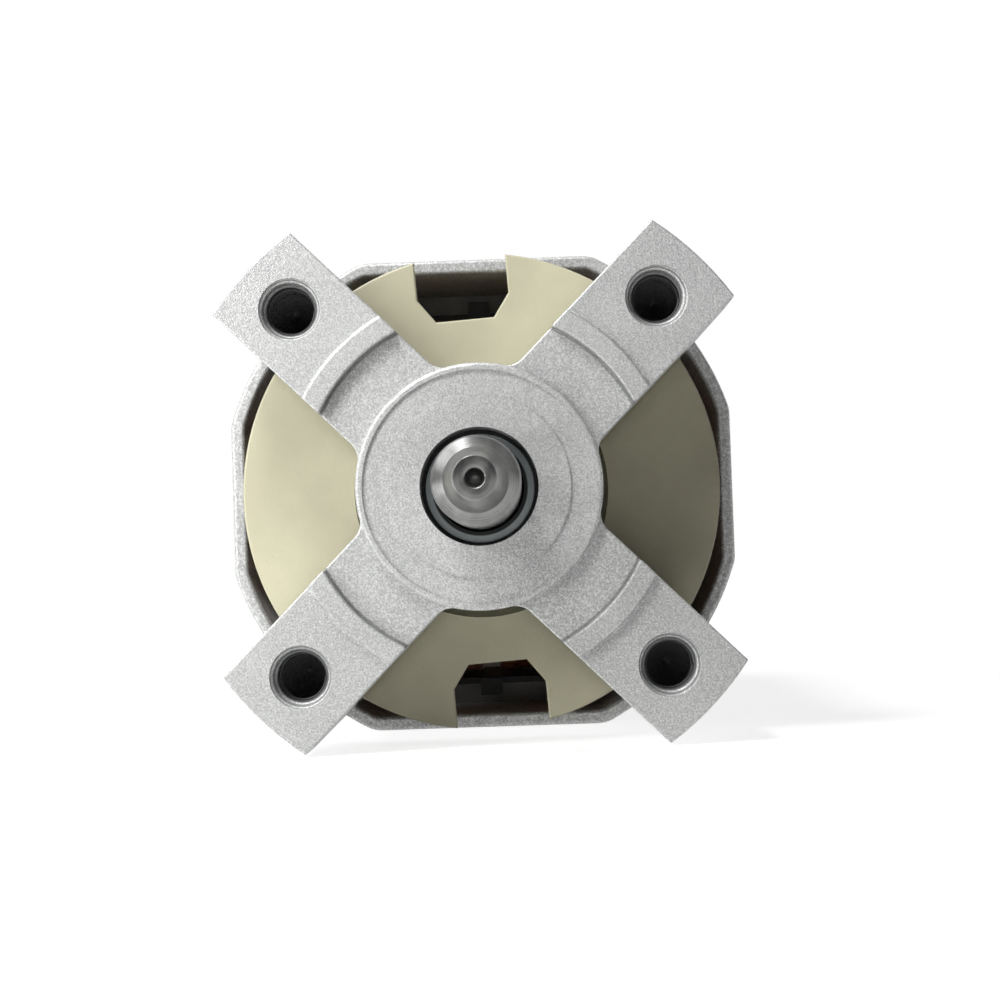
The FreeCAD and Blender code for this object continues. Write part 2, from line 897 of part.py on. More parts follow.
def stator_screws():
    """Four long screws with cross-recessed heads."""
    tip = stack_front - screw_engagement
    head_face = rear_wall_back + washer_thickness
    screw = turned([
        (0, tip),
        (screw_radius - thread_clearance - screw_tip_chamfer, tip),
        (screw_radius - thread_clearance, tip + screw_tip_chamfer),
        (screw_radius - thread_clearance, head_face),
        (screw_head_radius, head_face),
        (screw_head_radius, head_face + screw_head_height / 2),
        (screw_crown_radius, head_face + screw_head_height),
        (0, head_face + screw_head_height),
    ])
    recess_start = head_face + screw_head_height - screw_recess_depth
    recess_end = head_face + screw_head_height
    for angle in (0, 90, 180, 270):
        arm = radial_bar(screw_recess_width, 0, screw_recess_radius, recess_start, recess_end, angle)
        screw = screw.cut(arm)
    return Part.makeCompound(at_screws(screw))


def screw_washers():
    bore = screw_radius + screw_clearance
    washer = tube(washer_radius, bore, rear_wall_back, rear_wall_back + washer_thickness)
    return Part.makeCompound(at_screws(washer))


def sideways_rod(radius, inner, outer):
    """Cylinder along the brush axis on the right side."""
    start = FreeCAD.Vector(inner, brush_station, 0)
    return Part.makeCylinder(radius, outer - inner, start, FreeCAD.Vector(1, 0, 0))


def sideways_bar(breadth, width, inner, outer):
    """Rectangular bar along the brush axis on the right side."""
    corner = FreeCAD.Vector(inner, brush_station - breadth / 2, -width / 2)
    return Part.makeBox(outer - inner, breadth, width, corner)


def both_sides(shape):
    """A right-hand shape and its copy turned to the left side."""
    return [shape, swung(shape, 180)]


def rear_vents():
    """Radial vent slots with round ends in the rear wall."""
    cutters = []
    for angle in vent_angles:
        start = rear_wall_front - overrun
        stop = rear_wall_back + overrun
        cutters.append(radial_bar(vent_width, vent_inner_radius, vent_outer_radius, start, stop, angle))
        for radius in (vent_inner_radius, vent_outer_radius):
            end = rod(vent_width / 2, start, stop)
            end.translate(FreeCAD.Vector(radius, 0, 0))
            cutters.append(swung(end, angle))
    return cutters


def side_slots():
    """Air inlet slots in the top and bottom walls of the rear bracket."""
    middle = stack_back + rear_cavity_length / 2
    cutters = []
    for index in range(side_slot_count):
        across = (index - (side_slot_count - 1) / 2) * side_slot_pitch
        corner = FreeCAD.Vector(across - side_slot_width / 2, middle - side_slot_length / 2, -body_height)
        slot = Part.makeBox(side_slot_width, side_slot_length, 2 * body_height, corner)
        upright = [edge for edge in slot.Edges if is_straight_along(edge, FreeCAD.Vector(0, 0, 1))]
        cutters.append(slot.makeFillet(side_slot_end_round, upright))
    return cutters


def rear_bracket():
    """Cast cup with corner columns, a bearing boss, vents and two brush openings."""
    shell = body_block(0, stack_back, rear_wall_back)
    shell = shell.makeFillet(rear_edge_round, at_station(shell, rear_wall_back))
    cavity = body_block(rear_side_wall, stack_back, rear_wall_front)
    columns = four_bars(column_width, stack_back, rear_wall_front).common(cavity)
    columns = columns.cut(rod(column_inner_radius, stack_back, rear_wall_front))
    boss = rod(rear_boss_radius, rear_wall_front, rear_boss_back)
    boss = boss.makeFillet(boss_edge_round, at_station(boss, rear_boss_back))
    sleeve_start = side_face - sleeve_length
    pad = sideways_rod(sleeve_flange_radius, sleeve_start + sleeve_flange_thickness, side_face)
    casting = fused([shell.cut(cavity.cut(columns)), boss] + both_sides(pad))
    cuts = rear_vents() + side_slots()
    cuts.append(rod(rear_bearing_radius + seat_clearance, rear_wall_front - overrun, rear_boss_floor_front))
    cuts.extend(both_sides(sideways_rod(sleeve_radius + seat_clearance, sleeve_start, side_face + overrun)))
    bolt_hole = rod(screw_radius + screw_clearance, stack_back - overrun, rear_wall_back + overrun)
    cuts.extend(at_screws(bolt_hole))
    cuts.append(insulator_outline(stack_back, 1, insulator_clearance))
    for across in terminal_offsets():
        corner = FreeCAD.Vector(across - terminal_width / 2, rear_wall_front - overrun,
                                block_centre_height - block_recess / 2)
        cuts.append(Part.makeBox(terminal_width, rear_wall_thickness + 2 * overrun, block_recess, corner))
    return casting.cut(Part.makeCompound(cuts))


def terminal_offsets():
    """Sideways places of the terminals."""
    middle = (terminal_count - 1) / 2
    return [(index - middle) * terminal_pitch for index in range(terminal_count)]


def spring_washer():
    """Dished ring that presses the rear bearing forward."""
    outer = rear_bearing_radius - spring_washer_margin
    near = rear_bearing_back
    far = near + spring_washer_rise
    return turned([
        (outer, near),
        (outer, near + spring_washer_thickness),
        (spring_washer_inner_radius, far + spring_washer_thickness),
        (spring_washer_inner_radius, far),
    ])


holder_start = commutator_radius + holder_from_commutator
holder_end = side_face - holder_from_side
holder_inside_breadth = brush_breadth + 2 * brush_slip
holder_inside_width = brush_width + 2 * brush_slip
holder_breadth = holder_inside_breadth + 2 * holder_wall
holder_width = holder_inside_width + 2 * holder_wall
sleeve_outer_face = side_face + sleeve_flange_thickness
cap_plug_start = sleeve_outer_face - cap_plug_length


def carbon_brush():
    brush = sideways_bar(brush_breadth, brush_width, commutator_radius / 2, brush_end)
    return brush.cut(rod(brush_face, commutator_front, commutator_hub_back))


def brush_holder():
    """Rectangular brass tube that guides the brush."""
    outside = sideways_bar(holder_breadth, holder_width, holder_start, holder_end)
    return outside.cut(sideways_bar(holder_inside_breadth, holder_inside_width, holder_start, holder_end))


def holder_sleeve():
    """Moulded sleeve between the holder tube and the bracket wall."""
    start = side_face - sleeve_length
    body = fused([
        sideways_rod(sleeve_radius, start, sleeve_outer_face),
        sideways_rod(sleeve_flange_radius, side_face, sleeve_outer_face),
    ])
    slip = 2 * seat_clearance
    body = body.cut(sideways_bar(holder_breadth + slip, holder_width + slip, start, holder_end))
    return body.cut(sideways_rod(cap_plug_radius + cap_clearance, holder_end, sleeve_outer_face))


def brush_cap():
    """Slotted screw cap that holds the brush spring."""
    head_end = sleeve_outer_face + cap_head_thickness
    cap = fused([
        sideways_rod(cap_plug_radius, cap_plug_start, sleeve_outer_face),
        sideways_rod(cap_head_radius, sleeve_outer_face, head_end),
    ])
    return cap.cut(sideways_bar(2 * cap_head_radius, cap_slot_width, head_end - cap_slot_depth, head_end))


def brush_spring():
    """Coil spring between the brush and its cap."""
    start = brush_end + spring_end_gap + spring_wire_radius
    length = cap_plug_start - brush_end - 2 * (spring_end_gap + spring_wire_radius)
    helix = Part.makeHelix(length / spring_turns, length, spring_radius)
    wire = Part.Wire(Part.makeCircle(spring_wire_radius, FreeCAD.Vector(spring_radius, 0, 0),
                                     FreeCAD.Vector(0, 1, 0)))
    coil = Part.Wire(helix.Edges).makePipeShell([wire], True, True)
    coil.rotate(ORIGIN, AXIS, 90)
    coil.translate(FreeCAD.Vector(start, brush_station, 0))
    return coil


def terminal_block():
    """Moulded block with a slot for each tab."""
    base = block_centre_height - block_height / 2
    corner = FreeCAD.Vector(-block_width / 2, rear_wall_back, base)
    block = Part.makeBox(block_width, block_depth, block_height, corner)
    block = block.makeFillet(block_bevel, at_station(block, rear_wall_back + block_depth))
    for tab in terminal_places(terminal_slip):
        block = block.cut(tab)
    return block


def terminal_places(slip):
    """Tabs that stand through the block, enlarged by a slip."""
    tabs = []
    for across in terminal_offsets():
        width = terminal_width - terminal_thickness + 2 * slip
        start = rear_wall_back - terminal_root
        end = rear_wall_back + block_depth + terminal_reach
        thickness = terminal_thickness + 2 * slip
        corner = FreeCAD.Vector(across - width / 2, start, block_centre_height - thickness / 2)
        tabs.append(Part.makeBox(width, end - start, thickness, corner))
    return tabs


def terminal_tabs():
    return Part.makeCompound(terminal_places(0))


def brush_lead():
    """Short lead from the rear end of a field coil to the brush holder."""
    middle = (bore_radius + shoe_thickness + coil_to_shoe + coil_outer_radius) / 2
    start = stack_back + coil_overhang
    length = brush_station - holder_breadth / 2 - start
    return Part.makeCylinder(lead_radius, length, FreeCAD.Vector(middle, start, 0), AXIS)


def terminal_lead(coil, across):
    """Lead from the rear end of a field coil to the root of a terminal."""
    length = rear_wall_back - terminal_root - stack_back
    start = FreeCAD.Vector(across, stack_back, block_centre_height)
    lead = Part.makeCylinder(lead_radius, length, start, AXIS)
    return lead.cut(coil)


front_bearing = Bearing("front", front_bearing_front, front_bearing_width, front_bearing_radius,
                        shaft_radius, front_pitch_radius, front_ball_count)
rear_bearing = Bearing("rear", rear_bearing_front, rear_bearing_width, rear_bearing_radius,
                       rear_seat_radius, rear_pitch_radius, rear_ball_count)
right_coil = field_coil(1)
left_coil = field_coil(-1)
left_terminal, right_terminal = min(terminal_offsets()), max(terminal_offsets())

nodes = {
    "front_bracket": front_bracket(),
    "circlip": circlip(),
    "fan": fan(),
    "shaft": shaft(),
    "armature_core": armature_core(),
    "armature_winding": armature_winding(),
    "armature_front_insulator": armature_insulator(stack_front, -1, fan_hub_back),
    "armature_rear_insulator": armature_insulator(stack_back, 1, commutator_hub_front),
    "commutator_hub": commutator_hub(),
    "commutator_bars": commutator_bars(),
    "stator_core": stator_core(),
    "front_coil_insulator": coil_insulator(stack_front, -1),
    "rear_coil_insulator": coil_insulator(stack_back, 1),
    "right_field_coil": right_coil,
    "left_field_coil": left_coil,
    "right_terminal_lead": terminal_lead(right_coil, right_terminal),
    "left_terminal_lead": terminal_lead(left_coil, left_terminal),
    "stator_screws": stator_screws(),
    "screw_washers": screw_washers(),
    "rear_bracket": rear_bracket(),
    "spring_washer": spring_washer(),
    "terminal_block": terminal_block(),
    "terminal_tabs": terminal_tabs(),
}

for bearing in (front_bearing, rear_bearing):
    nodes[bearing.name + "_bearing_inner_ring"] = bearing.inner_ring()
    nodes[bearing.name + "_bearing_outer_ring"] = bearing.outer_ring()
    nodes[bearing.name + "_bearing_balls"] = bearing.balls()
    nodes[bearing.name + "_bearing_cage"] = bearing.cage()
    nodes[bearing.name + "_bearing_seals"] = bearing.seals()

brush_parts = {
    "carbon_brush": carbon_brush(),
    "brush_holder": brush_holder(),
    "brush_lead": brush_lead(),
    "holder_sleeve": holder_sleeve(),
    "brush_cap": brush_cap(),
    "brush_spring": brush_spring(),
}
for name, shape in brush_parts.items():
    for side, copy in zip(("right_", "left_"), both_sides(shape)):
        nodes[side + name] = copy

os.makedirs("parts", exist_ok=True)
for name, shape in nodes.items():
    shape.exportStep("parts/" + name + ".step")
    print(name, "solids", len(shape.Solids), "volume", round(shape.Volume, 1), "valid", shape.isValid())
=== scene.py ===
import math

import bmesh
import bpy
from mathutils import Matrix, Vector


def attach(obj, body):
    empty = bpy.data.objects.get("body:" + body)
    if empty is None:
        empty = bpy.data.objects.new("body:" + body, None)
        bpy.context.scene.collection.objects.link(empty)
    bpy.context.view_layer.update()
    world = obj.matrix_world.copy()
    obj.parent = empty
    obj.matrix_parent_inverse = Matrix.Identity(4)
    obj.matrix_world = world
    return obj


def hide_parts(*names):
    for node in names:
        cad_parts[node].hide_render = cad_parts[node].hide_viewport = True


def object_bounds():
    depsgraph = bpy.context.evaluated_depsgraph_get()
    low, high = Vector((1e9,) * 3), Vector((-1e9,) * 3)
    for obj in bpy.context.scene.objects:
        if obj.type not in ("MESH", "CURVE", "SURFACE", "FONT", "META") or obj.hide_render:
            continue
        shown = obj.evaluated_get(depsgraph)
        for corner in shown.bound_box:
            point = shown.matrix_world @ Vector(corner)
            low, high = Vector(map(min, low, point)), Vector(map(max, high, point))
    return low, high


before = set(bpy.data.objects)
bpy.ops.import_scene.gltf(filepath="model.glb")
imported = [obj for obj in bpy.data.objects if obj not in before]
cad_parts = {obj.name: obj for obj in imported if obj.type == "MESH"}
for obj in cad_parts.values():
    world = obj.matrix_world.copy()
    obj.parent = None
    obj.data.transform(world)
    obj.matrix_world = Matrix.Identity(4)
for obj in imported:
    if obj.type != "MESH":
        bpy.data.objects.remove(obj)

# %% [markdown]
# The motor is already solid when this lesson starts: every casting, ring and coil arrives with
# its true size and place. The lesson gives each of them its finish, turns a few pieces again
# with softer edges and real threads, and then sets up a plain studio and the camera.
# The box round the untouched parts is measured first, and the floor is laid just under it.

box_of_parts = [list(corner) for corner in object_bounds()]
print("parts", len(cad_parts), "box", box_of_parts)

# %% [markdown]
# The camera looks almost straight along the shaft, from a little below it and a little to the
# right, and is held a touch crooked. A camera could be aimed with a constraint, but a matrix
# from its own three directions keeps the slight roll exactly. The lens is moderately long.

# %% Camera
CAMERA_PLACE = Vector((0.0074, -0.3519, -0.0147))
CAMERA_YAW = math.radians(0.62)
CAMERA_PITCH = math.radians(1.98)
CAMERA_ROLL = math.radians(-1.97)
CAMERA_LENS = 71.94


def camera_matrix():
    forward = Vector((
        -math.sin(CAMERA_YAW) * math.cos(CAMERA_PITCH),
        math.cos(CAMERA_YAW) * math.cos(CAMERA_PITCH),
        math.sin(CAMERA_PITCH),
    ))
    level = forward.cross(Vector((0, 0, 1))).normalized()
    upright = level.cross(forward)
    right = math.cos(CAMERA_ROLL) * level + math.sin(CAMERA_ROLL) * upright
    up = right.cross(forward)
    turn = Matrix((right, up, -forward)).transposed()
    return Matrix.Translation(CAMERA_PLACE) @ turn.to_4x4()


camera = bpy.data.objects.new("camera", bpy.data.cameras.new("camera"))
camera.data.lens = CAMERA_LENS
camera.data.clip_start = 0.01
camera.matrix_world = camera_matrix()
bpy.context.scene.collection.objects.link(camera)
bpy.context.scene.camera = camera
print("camera", [round(value, 4) for value in camera.location])

# %% [markdown]
# A finish is a small tree of nodes. Writing each node out takes many lines, so two helpers
# carry the lesson: a wire wraps one socket, and plain sums and products on it add the maths
# nodes. Every other node comes from one method that sets its options first and then its inputs.

# %% A wire that can be added and multiplied
class Wire:
    """One socket of a material. Arithmetic on it adds the maths nodes."""

    def __init__(self, tree, socket=None):
        self.tree = tree
        self.socket = socket

    def node(self, kind, settings=None, inputs=None, output=0):
        """A node of a type, with its settings and then the values or links of its sockets."""
        made = self.tree.nodes.new(kind)
        for name, value in (settings or {}).items():
            setattr(made, name, value)
        for name, value in (inputs or {}).items():
            connect(self.tree, made.inputs[name], value)
        return Wire(self.tree, made.outputs[output])

    def maths(self, operation, *values):
        return self.node("ShaderNodeMath", {"operation": operation}, dict(enumerate(values)))

    def __add__(self, other):
        return self.maths("ADD", self, other)

    def __sub__(self, other):
        return self.maths("SUBTRACT", self, other)

    def __rsub__(self, other):
        return self.maths("SUBTRACT", other, self)

    def __mul__(self, other):
        return self.maths("MULTIPLY", self, other)

    def __truediv__(self, other):
        return self.maths("DIVIDE", self, other)

    def __pow__(self, other):
        return self.maths("POWER", self, other)

    __radd__ = __add__
    __rmul__ = __mul__


def connect(tree, socket, value):
    """Links a wire to a socket, or sets a plain value on it."""
    if isinstance(value, Wire):
        tree.links.new(value.socket, socket)
    else:
        socket.default_value = value


# %% [markdown]
# Every pattern below is placed in millimetres, measured from the point where the motor axis
# meets the mounting pads. Object coordinates are in metres, so one mapping node multiplies
# them by a thousand. Distances from the axis and along it come from the same point, which
# lets turning marks run round the shaft and sheet edges run across the stack.

# %% Helpers for places and patterns
MM_PER_METRE = 1000


def colour(red, green, blue):
    return (red, green, blue, 1.0)


def new_finish(name):
    """A material, its shader and the place of a point in millimetres."""
    material = bpy.data.materials.new(name)
    material.use_nodes = True
    shader = material.node_tree.nodes["Principled BSDF"]
    start = Wire(material.node_tree)
    point = start.node("ShaderNodeTexCoord", output="Object")
    inputs = {"Vector": point, "Scale": (MM_PER_METRE, MM_PER_METRE, MM_PER_METRE)}
    place = point.node("ShaderNodeMapping", None, inputs)
    return material, shader, place


def finish(shader, place, **sockets):
    """Sets the shader's sockets; a name's underscores stand for spaces."""
    for name, value in sockets.items():
        connect(place.tree, shader.inputs[name.replace("_", " ")], value)


def axes(place):
    """The three distances of a place, as wires."""
    split = place.node("ShaderNodeSeparateXYZ", None, {"Vector": place})
    outputs = split.socket.node.outputs
    return [Wire(place.tree, outputs[index]) for index in range(3)]


def joined(place, across, along, up):
    return place.node("ShaderNodeCombineXYZ", None, {"X": across, "Y": along, "Z": up})


def grain(place, per_mm, detail=2.0, roughness=0.5):
    """Soft noise from 0 to 1, with this many grains in a millimetre."""
    inputs = {"Vector": place, "Scale": per_mm, "Detail": detail, "Roughness": roughness}
    return place.node("ShaderNodeTexNoise", None, inputs)


def between(value, low, high, start=0.0, end=1.0):
    """Takes a value from low..high to start..end with soft ends."""
    inputs = {"Value": value, "From Min": low, "From Max": high, "To Min": start, "To Max": end}
    return value.node("ShaderNodeMapRange", {"interpolation_type": "SMOOTHSTEP"}, inputs)


def blend(factor, first, second):
    """Colour that goes from the first to the second as the factor goes from 0 to 1."""
    inputs = {0: factor, 6: first, 7: second}
    return factor.node("ShaderNodeMix", {"data_type": "RGBA"}, inputs, output=2)


def relief(height, depth_mm, below=None):
    """Bump normal for a height from 0 to 1 that stands this deep."""
    inputs = {"Height": height, "Distance": depth_mm / MM_PER_METRE, "Strength": 1.0}
    if below is not None:
        inputs["Normal"] = below
    return height.node("ShaderNodeBump", None, inputs)


def radius_from_axis(place):
    across, _, up = axes(place)
    return (across * across + up * up) ** 0.5


finishes = {}
print("helpers ready")

# %% [markdown]
# The two brackets are die castings that were blasted with fine grit: a pale, matt, sparkling
# grey with a grain of about a third of a millimetre. A plain metal would mirror the room, so
# the shader is only part metal and fairly rough. Three noises share the work: a fine one for
# the grit marks, a middle one for the soft hammered look and a wide one for faint clouds.
# The tapped holes are painted almost black a few millimetres in, as painted shade, and a
# spiral relief on their walls runs from just inside the mouth to the end of the thread.

# %% Blasted casting
HOLE_SPACING = 65.0
MOUTH_RADIUS = 5.6
THREAD_PITCH = 1.5
HOLE_END = 13.0
THREAD_END = 9.0
RELIEF_START = 0.2
RELIEF_FULL = 0.6
HOLE_SHADE_START = 1.3
HOLE_SHADE_FULL = 3.3
RIDGE_FOOT_RADIUS = 30.9
CREASE_HALF_WIDTH = 0.55
CREASE_TOP = (0.35, 0.7)
CREASE_BOTTOM = (1.5, 2.0)
GRIT_PER_MM = 3.0
HAMMERING_PER_MM = 1.1
CLOUDS_PER_MM = 0.09


def tapped_hole(place):
    """How much a place belongs to a tapped hole, and the height of the thread there."""
    across, along, up = axes(place)
    half = HOLE_SPACING / 2
    sideways = across - across.maths("SIGN", across) * half
    upward = up - up.maths("SIGN", up) * half
    distance = (sideways * sideways + upward * upward) ** 0.5
    inside = between(distance, MOUTH_RADIUS - 0.05, MOUTH_RADIUS + 0.1, 1.0, 0.0)
    inside = inside * between(along, HOLE_END, HOLE_END + 0.5, 1.0, 0.0)
    angle = sideways.maths("ARCTAN2", upward, sideways)
    turns = along * (math.tau / THREAD_PITCH) + angle
    thread = (turns.maths("SINE", turns) * 0.5 + 0.5) * inside
    begins = between(along, RELIEF_START, RELIEF_FULL)
    ends = between(along, THREAD_END, THREAD_END + 1.0, 1.0, 0.0)
    return inside, thread * begins * ends


def painted_crease_shade(place):
    """1 in the narrow crease at the inner foot of the arms' ridges, which is darkened as painted
    shade.
    """
    _, along, _ = axes(place)
    offset = radius_from_axis(place) - RIDGE_FOOT_RADIUS
    near = between(offset.maths("ABSOLUTE", offset), 0.1, CREASE_HALF_WIDTH, 1.0, 0.0)
    return near * between(along, *CREASE_TOP) * between(along, *CREASE_BOTTOM, 1.0, 0.0)


def blasted_casting():
    material, shader, place = new_finish("cast_aluminium")
    _, along, _ = axes(place)
    grit = grain(place, GRIT_PER_MM, 2.0, 0.6)
    hammered = grain(place, HAMMERING_PER_MM, 1.0)
    clouds = grain(place, CLOUDS_PER_MM, 2.0)
    inside, thread = tapped_hole(place)
    spark = between(grit, 0.60, 0.70)
    tone = between(grit * 0.7 + hammered * 0.2 + clouds * 0.1, 0.38, 0.62)
    clean = blend(tone, colour(0.44, 0.445, 0.44), colour(0.69, 0.695, 0.685))
    clean = blend(spark * 0.5, clean, colour(0.92, 0.92, 0.915))
    # Painted shade: a dark line along the inner foot of the arms' ridges.
    clean = blend(painted_crease_shade(place) * 0.75, clean, colour(0.12, 0.12, 0.118))
    # Painted shade: the tapped holes turn almost black a few millimetres in.
    painted_hole_shade = inside * between(along, HOLE_SHADE_START, HOLE_SHADE_FULL)
    finish(
        shader, place,
        Base_Color=blend(painted_hole_shade, clean, colour(0.09, 0.09, 0.093)),
        Metallic=0.6,
        Roughness=between(grit, 0.3, 0.7, 0.64, 0.48),
        Normal=relief(thread, 0.3, relief(hammered, 0.06, relief(grit, 0.085))),
    )
    return material


finishes["cast_aluminium"] = blasted_casting()

# %% [markdown]
# Turned steel carries the marks of the tool: fine rings round the axis, on the end faces as
# well as along the cylinder. A wave texture would look too even. Noise that reads only the
# distance from the axis and the distance along it gives uneven rings that close on themselves.
# Round the root of the shaft end, where it enters the front bearing, the ring face is painted with
# a dark ring of shade.

# %% Turned and ground steel
SHADE_RING_RADIUS = 8.6
SHADE_RING_EDGE = 0.15
SHADE_RING_STRENGTH = 0.94


def ring_marks(place, per_mm):
    """Uneven rings round the motor axis."""
    _, along, _ = axes(place)
    return grain(joined(place, radius_from_axis(place), along, 0.0), per_mm, 2.0, 0.6)


def turned_steel(name, dark, light, roughness, depth_mm, per_mm, shade_ring_within=0.0):
    """Steel or copper off the lathe; a painted shade ring may lie round the shaft within a radius.
    """
    material, shader, place = new_finish(name)
    rings = ring_marks(place, per_mm)
    stain = grain(place, 0.35, 3.0)
    tone = between(rings * 0.6 + stain * 0.4, 0.35, 0.65)
    edge = (shade_ring_within - SHADE_RING_EDGE, shade_ring_within + SHADE_RING_EDGE)
    # Painted shade: a dark ring round the shaft, out to the given radius.
    painted_ring_shade = between(radius_from_axis(place), *edge, SHADE_RING_STRENGTH, 0.0)
    finish(
        shader, place,
        Base_Color=blend(painted_ring_shade, blend(tone, dark, light), colour(0.014, 0.014, 0.014)),
        Metallic=1.0,
        Roughness=between(stain, 0.3, 0.7, roughness, roughness + 0.12),
        Normal=relief(rings, depth_mm),
    )
    return material


finishes["turned_steel"] = turned_steel(
    "turned_steel", colour(0.15, 0.15, 0.148), colour(0.29, 0.29, 0.284), 0.30, 0.012, 5.0)
finishes["bearing_steel"] = turned_steel(
    "bearing_steel", colour(0.25, 0.27, 0.275), colour(0.37, 0.40, 0.405), 0.26, 0.004, 9.0)
# The front ring carries the painted shade ring round the shaft.
front_ring_steel = turned_steel(
    "front_ring_steel", colour(0.25, 0.27, 0.275), colour(0.37, 0.40, 0.405), 0.30, 0.004, 9.0,
    SHADE_RING_RADIUS)
finishes["ball_steel"] = turned_steel(
    "ball_steel", colour(0.55, 0.55, 0.56), colour(0.66, 0.66, 0.67), 0.08, 0.001, 2.0)

# %% [markdown]
# The fan is one cream moulding with a satin face. Real mouldings are never one colour: the
# melt leaves faint streaks, the mould's own texture leaves a fine grain, and dust from the
# mill settles as small darker specks. All three are weak, so the face still reads as plain.

# %% Cream fan moulding
def cream_moulding():
    material, shader, place = new_finish("fan_plastic")
    texture = grain(place, 2.6, 3.0, 0.6)
    melt = grain(place, 0.06, 3.0, 0.55)
    specks = between(grain(place, 1.4, 2.0), 0.70, 0.78)
    streaks = between(melt, 0.35, 0.65)
    clean = blend(streaks, colour(0.575, 0.545, 0.39), colour(0.635, 0.605, 0.435))
    base = blend(between(texture, 0.35, 0.65, 0.0, 0.18), clean, colour(0.51, 0.475, 0.34))
    finish(
        shader, place,
        Base_Color=blend(specks * 0.3, base, colour(0.38, 0.34, 0.24)),
        Metallic=0.0,
        Roughness=between(texture, 0.3, 0.7, 0.58, 0.44),
        Normal=relief(texture, 0.012),
    )
    return material


finishes["fan_plastic"] = cream_moulding()

# %% [markdown]
# The stator is a stack of thin sheets, pressed together and dipped in varnish. Its sides show
# every sheet as a fine line across the axis, and no two edges are quite flush. The bands come
# from the distance along the axis alone: a triangle wave for the seams, and a noise that jumps
# from sheet to sheet for the uneven edges.

# %% Stacked sheets
SHEET_THICKNESS = 0.5
NOISE_STEP_PER_SHEET = 7.31


def stacked_sheets():
    material, shader, place = new_finish("lamination_steel")
    _, along, _ = axes(place)
    sheet = along / SHEET_THICKNESS
    number = sheet.maths("FLOOR", sheet)
    offset = sheet.maths("FRACT", sheet) - 0.5
    seam = offset.maths("ABSOLUTE", offset)
    gap = between(seam, 0.36, 0.5)
    uneven = grain(joined(place, number * NOISE_STEP_PER_SHEET, 0.0, 0.0), 1.0, 0.0)
    varnish = grain(place, 0.25, 3.0, 0.6)
    fine = grain(place, 4.0, 2.0)
    clean = blend(between(varnish, 0.3, 0.7), colour(0.58, 0.58, 0.57), colour(0.72, 0.72, 0.71))
    toned = blend(between(uneven, 0.3, 0.7, 0.0, 0.35), clean, colour(0.34, 0.335, 0.32))
    finish(
        shader, place,
        Base_Color=blend(gap * 0.7, toned, colour(0.06, 0.055, 0.05)),
        Metallic=0.3,
        Roughness=between(fine, 0.3, 0.7, 0.40, 0.56),
        Coat_Weight=0.15,
        Coat_Roughness=0.3,
        Normal=relief((1 - gap) * 0.7 + uneven * 0.3, 0.06, relief(fine, 0.006)),
    )
    return material


finishes["lamination_steel"] = stacked_sheets()

# %% [markdown]
# The coils are wound from enamelled wire a little under a millimetre thick. On the field coils
# the turns run as flat loops round each pole; on the armature they run round the shaft in
# bundles. Modelling every turn would cost far more than it shows, because the brackets cover
# most of it, so the turns are a rounded relief: rows of half circles whose distance is
# measured from the middle of the loop.

# %% Enamelled wire
WIRE_PITCH = 0.85
POLE_MIDDLE = 80.0
POLE_HALF_LENGTH = 20.0
POLE_HALF_HEIGHT = 12.0
BUNDLE_SLANT = 0.55
BUNDLE_WANDER = 6.0


def round_rows(distance):
    """Half-round rows, one wire wide each: 0 in the seams and 1 on the crowns."""
    offset = distance.maths("FRACT", distance / WIRE_PITCH) - 0.5
    return (1 - offset * offset * 4.0) ** 0.5


def loop_distance(place):
    """How far a place lies outside the straight middle part of a field coil's loop."""
    _, along, up = axes(place)
    lengthwise = along.maths("ABSOLUTE", along - POLE_MIDDLE) - POLE_HALF_LENGTH
    upward = up.maths("ABSOLUTE", up) - POLE_HALF_HEIGHT
    lengthwise = lengthwise.maths("MAXIMUM", lengthwise, 0.0)
    upward = upward.maths("MAXIMUM", upward, 0.0)
    return (lengthwise * lengthwise + upward * upward) ** 0.5


def wound_wire(name, rows):
    material, shader, place = new_finish(name)
    ridge = rows(place)
    varnish = grain(place, 0.5, 3.0, 0.6)
    shade = between(ridge, 0.2, 0.95)
    copper = blend(between(varnish, 0.3, 0.7), colour(0.36, 0.10, 0.035), colour(0.55, 0.19, 0.07))
    finish(
        shader, place,
        Base_Color=blend(shade, colour(0.09, 0.025, 0.012), copper),
        Metallic=0.45,
        Roughness=between(varnish, 0.3, 0.7, 0.26, 0.42),
        Coat_Weight=0.5,
        Coat_Roughness=0.18,
        Normal=relief(ridge, 0.3),
    )
    return material


def field_rows(place):
    loops = round_rows(loop_distance(place))
    layers = round_rows(radius_from_axis(place))
    return loops.maths("MAXIMUM", loops, layers)


def armature_rows(place):
    _, along, _ = axes(place)
    wander = grain(place, 0.12, 2.0)
    return round_rows(radius_from_axis(place) + along * BUNDLE_SLANT + wander * BUNDLE_WANDER)


finishes["enamelled_copper"] = wound_wire("field_coil_wire", field_rows)
armature_wire = wound_wire("armature_wire", armature_rows)

# %% [markdown]
# The commutator is turned copper that the brushes have polished. Its finish is the turned
# steel's again, with copper colours.

# %% Commutator copper and brass
finishes["commutator_copper"] = turned_steel(
    "commutator_copper", colour(0.42, 0.20, 0.12), colour(0.74, 0.40, 0.25), 0.24, 0.008, 6.0)


def drawn_metal(name, dark, light, roughness):
    """Rolled or plated metal with soft stains and fine drawn scratches."""
    material, shader, place = new_finish(name)
    across, along, up = axes(place)
    scratches = grain(joined(place, across * 0.5, along * 6.0, up * 6.0), 1.0, 3.0, 0.65)
    stain = grain(place, 0.4, 3.0, 0.6)
    finish(
        shader, place,
        Base_Color=blend(between(scratches * 0.4 + stain * 0.6, 0.35, 0.65), dark, light),
        Metallic=1.0,
        Roughness=between(stain, 0.3, 0.7, roughness, roughness + 0.16),
        Normal=relief(scratches, 0.006),
    )
    return material


